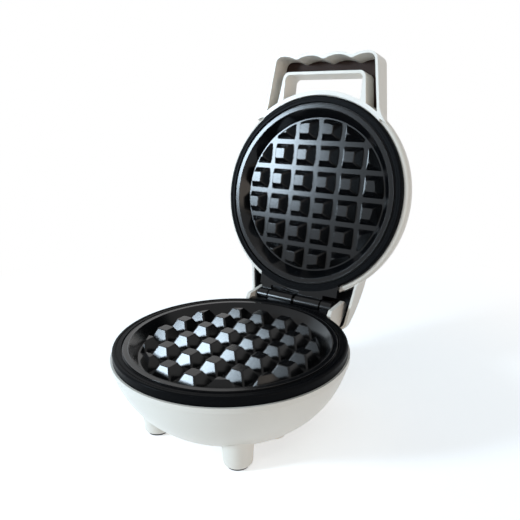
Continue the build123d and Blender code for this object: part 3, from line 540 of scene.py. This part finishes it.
class PlateSettings(bpy.types.PropertyGroup):
    colour: FloatVectorProperty(
        name="Coating colour", description="Colour of the non-stick coating",
        subtype="COLOR", size=3, min=0.0, max=1.0, default=(0.003, 0.0032, 0.0038))
    fleck: FloatVectorProperty(
        name="Fleck colour", description="Colour of the coating's finest specks",
        subtype="COLOR", size=3, min=0.0, max=1.0, default=(0.012, 0.013, 0.015))
    roughness: FloatProperty(
        name="Coating roughness", description="Roughness of the non-stick coating",
        default=0.18, min=0.0, max=1.0, subtype="FACTOR")
    upper_mouth: FloatProperty(
        name="Upper mouth radius", description="Radius of the upper plate's hollow",
        default=0.0514, min=0.03, max=0.08, subtype="DISTANCE", unit="LENGTH")
    lower_mouth: FloatProperty(
        name="Lower mouth radius", description="Radius of the lower plate's hollow",
        default=0.0532, min=0.03, max=0.08, subtype="DISTANCE", unit="LENGTH")
    upper_rim: FloatProperty(
        name="Upper rim radius", description="Radius of the upper plate",
        default=0.059, min=0.03, max=0.1, subtype="DISTANCE", unit="LENGTH")
    lower_rim: FloatProperty(
        name="Lower rim radius", description="Radius of the lower plate",
        default=0.0615, min=0.03, max=0.1, subtype="DISTANCE", unit="LENGTH")
    pitch: FloatProperty(
        name="Turning pitch", description="Spacing of the turned lines on the outer band",
        default=0.0006, min=0.0001, max=0.01, subtype="DISTANCE", unit="LENGTH")
    rim: FloatProperty(
        name="Lower rim height", description="Height of the lower plate's rim above the table",
        default=0.048, min=0.02, max=0.1, subtype="DISTANCE", unit="LENGTH")
    gap: FloatProperty(
        name="Shut gap", description="Gap between the two rims when the lid is shut",
        default=0.0004, min=0.0, max=0.01, subtype="DISTANCE", unit="LENGTH")
    groove: FloatProperty(
        name="Groove width", description="Width of the groove outside the ring",
        default=0.0008, min=0.0002, max=0.01, subtype="DISTANCE", unit="LENGTH")
    ring: FloatProperty(
        name="Ring width", description="Width of the raised ring round the hollow",
        default=0.0029, min=0.0005, max=0.01, subtype="DISTANCE", unit="LENGTH")
    bead: FloatProperty(
        name="Bead radius", description="Radius of the polished beads along the ring's edges",
        default=0.00024, min=0.0001, max=0.001, subtype="DISTANCE", unit="LENGTH")
    steps: IntProperty(
        name="Bead steps", description="Steps round each bead", default=180, min=24, max=720)


class StageSettings(bpy.types.PropertyGroup):
    place: FloatVectorProperty(
        name="Camera place", description="Where the camera stands",
        subtype="TRANSLATION", size=3, unit="LENGTH", default=(0.17070, -0.22031, 0.17314))
    azimuth: FloatProperty(
        name="Azimuth", description="Turn of the camera round the object",
        default=math.radians(34.52), subtype="ANGLE", unit="ROTATION")
    elevation: FloatProperty(
        name="Elevation", description="How far the camera looks down",
        default=math.radians(16.45), subtype="ANGLE", unit="ROTATION")
    roll: FloatProperty(
        name="Roll", description="Tilt of the camera about its own line",
        default=math.radians(-0.59), subtype="ANGLE", unit="ROTATION")
    lens: FloatProperty(
        name="Lens", description="Focal length on a 36 mm sensor", default=39.50, min=10.0,
        max=200.0, unit="CAMERA")
    floor: FloatVectorProperty(
        name="Floor colour", description="Colour of the floor",
        subtype="COLOR", size=3, min=0.0, max=1.0, default=(0.96, 0.96, 0.96))
    ambient: FloatProperty(
        name="Ambient", description="Strength of the even light from all round",
        default=0.33, min=0.0, max=5.0)
    key: FloatProperty(
        name="Key light", description="Power of the main soft light",
        default=11.0, min=0.0, unit="POWER")
    fill: FloatProperty(
        name="Fill light", description="Power that the wide soft lights take their shares of",
        default=1.7, min=0.0, unit="POWER")


# Operators, one for each group of pieces and one for the stage

class WAFFLE_OT_stage(bpy.types.Operator):
    """Set the floor, the soft lights and the camera"""
    bl_idname = "waffle.stage"
    bl_label = "Stage"

    def execute(self, context):
        given = context.scene.waffle_stage
        make_floor(tuple(given.floor))
        make_world(given.ambient)
        make_lamps(given)
        make_camera(given)
        return {"FINISHED"}


class WAFFLE_OT_shells(bpy.types.Operator):
    """Finish the white base, lid, handle and feet"""
    bl_idname = "waffle.shells"
    bl_label = "Shells"

    def execute(self, context):
        given = context.scene.waffle_shell
        colour, dark = tuple(given.colour), tuple(given.dark)
        white = moulded_plastic("White moulded plastic", colour, given.gloss)
        dress(["base_shell", "bottom_cover", "hinge_pin_caps"], white)
        # The lid shell is painted black in a box at its edge by the hinge, as painted shade.
        middle = FROM_SHUT_TO_OPEN @ (PIVOT + Vector(given.painted_shade_middle))
        dress(["lid_shell"], lid_plastic_with_painted_shade("Lid plastic with painted shade", colour, dark, given.gloss, middle,
                                         given.painted_shade_half))
        dress(["handle_liner"], moulded_plastic(
            "Handle channel plastic", tuple(given.channel), 0.55, ripple=1400.0, strength=0.2,
            gloss=0.15))
        dress(["tail_liner", "lamp_holder", "thermostat", "thermal_fuse", "cord_clamp"],
              moulded_plastic("Dark plastic", dark, 0.55, ripple=1400.0, strength=0.2,
                              gloss=0.2))
        dress(["foot_pads", "cord_bush"], soft_rubber("Black rubber", (0.012, 0.012, 0.012)))
        return {"FINISHED"}


class WAFFLE_OT_plates(bpy.types.Operator):
    """Finish the two coated cooking plates and their hinge barrels"""
    bl_idname = "waffle.plates"
    bl_label = "Cooking plates"

    def execute(self, context):
        given = context.scene.waffle_plate
        centre = FROM_SHUT_TO_OPEN @ Vector((0.0, 0.0, given.rim + given.gap))
        ring = given.ring + given.groove * 0.5
        dress(["lower_plate"], coated_plate(
            "Lower plate coating", given, MIDDLE, UNTURNED,
            given.lower_mouth + ring, given.lower_rim))
        dress(["upper_plate"], coated_plate(
            "Upper plate coating", given, centre, LID_TURN,
            given.upper_mouth + ring, given.upper_rim))
        return {"FINISHED"}


class WAFFLE_OT_beads(bpy.types.Operator):
    """Add the fine beads along the plates' rings"""
    bl_idname = "waffle.beads"
    bl_label = "Ring beads"

    def execute(self, context):
        given = context.scene.waffle_plate
        inset, sink = given.bead * BEAD_INSET, given.bead * BEAD_SINK
        for plate, body, mouth, height, place in (
                ("lower_plate", "base", given.lower_mouth, given.rim - sink,
                 Matrix.Identity(4)),
                ("upper_plate", "lid", given.upper_mouth, given.rim + given.gap + sink,
                 FROM_SHUT_TO_OPEN)):
            ring = mouth + given.ring
            bm = bmesh.new()
            for radius in (mouth + inset, ring - inset, ring + given.groove + inset):
                bead_ring(bm, radius, height, given.bead, given.steps)
            coating = frame["nodes"][plate].data.materials[0]
            piece = finish_mesh(plate + "_beads", bm, coating, place)
            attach(piece, body)
        return {"FINISHED"}


class WAFFLE_OT_inside(bpy.types.Operator):
    """Finish the heating parts, screws, leads and lamp inside"""
    bl_idname = "waffle.inside"
    bl_label = "Inside parts"

    def execute(self, context):
        dress(["lower_heating_element", "upper_heating_element", "fuse_clip", "hinge_pin",
               "bottom_cover_screws", "lower_plate_screws", "lower_clamp_screws",
               "upper_clamp_screws", "cord_clamp_screws"],
              plain_metal("Plain steel", (0.42, 0.42, 0.43), 0.35, scale=1500.0))
        dress(["lower_heater_clamp", "upper_heater_clamp", "lower_reflector",
               "upper_reflector"],
              plain_metal("Rolled aluminium", (0.72, 0.73, 0.74), 0.28, scale=700.0))
        dress(["terminal_block"], moulded_plastic("Pale plastic", (0.62, 0.6, 0.54), 0.45))
        dress(["base_leads"], soft_rubber("Lead sleeve", (0.55, 0.5, 0.42)))
        dress(["indicator_lens"], tinted_lens("Amber lens", (0.62, 0.09, 0.02)))
        dress(["indicator_lamp"], lamp_glass("Lamp glass", (0.95, 0.6, 0.35)))
        return {"FINISHED"}


SETTINGS = {"waffle_shell": ShellSettings, "waffle_plate": PlateSettings,
            "waffle_stage": StageSettings}
OPERATORS = (WAFFLE_OT_stage, WAFFLE_OT_shells, WAFFLE_OT_plates, WAFFLE_OT_beads,
             WAFFLE_OT_inside)


class WAFFLE_PT_panel(bpy.types.Panel):
    """Lists the steps that dress the waffle maker"""
    bl_label = "Waffle maker"
    bl_idname = "WAFFLE_PT_panel"
    bl_space_type = "VIEW_3D"
    bl_region_type = "UI"
    bl_category = "Waffle maker"

    def draw(self, context):
        for operator in OPERATORS:
            self.layout.operator(operator.bl_idname)
        for group in SETTINGS:
            settings = getattr(context.scene, group)
            box = self.layout.box()
            for name in settings.__annotations__:
                box.prop(settings, name)


def register():
    for item in (*SETTINGS.values(), *OPERATORS, WAFFLE_PT_panel):
        bpy.utils.register_class(item)
    for name, item in SETTINGS.items():
        setattr(bpy.types.Scene, name, PointerProperty(type=item))


def unregister():
    for name in SETTINGS:
        delattr(bpy.types.Scene, name)
    for item in (WAFFLE_PT_panel, *reversed(OPERATORS), *reversed(list(SETTINGS.values()))):
        bpy.utils.unregister_class(item)


def main():
    register()
    bpy.context.scene.view_settings.view_transform = "Standard"
    bpy.ops.waffle.stage()
    bpy.ops.waffle.shells()
    bpy.ops.waffle.plates()
    bpy.ops.waffle.beads()
    bpy.ops.waffle.inside()


if __name__ == "__main__":
    main()
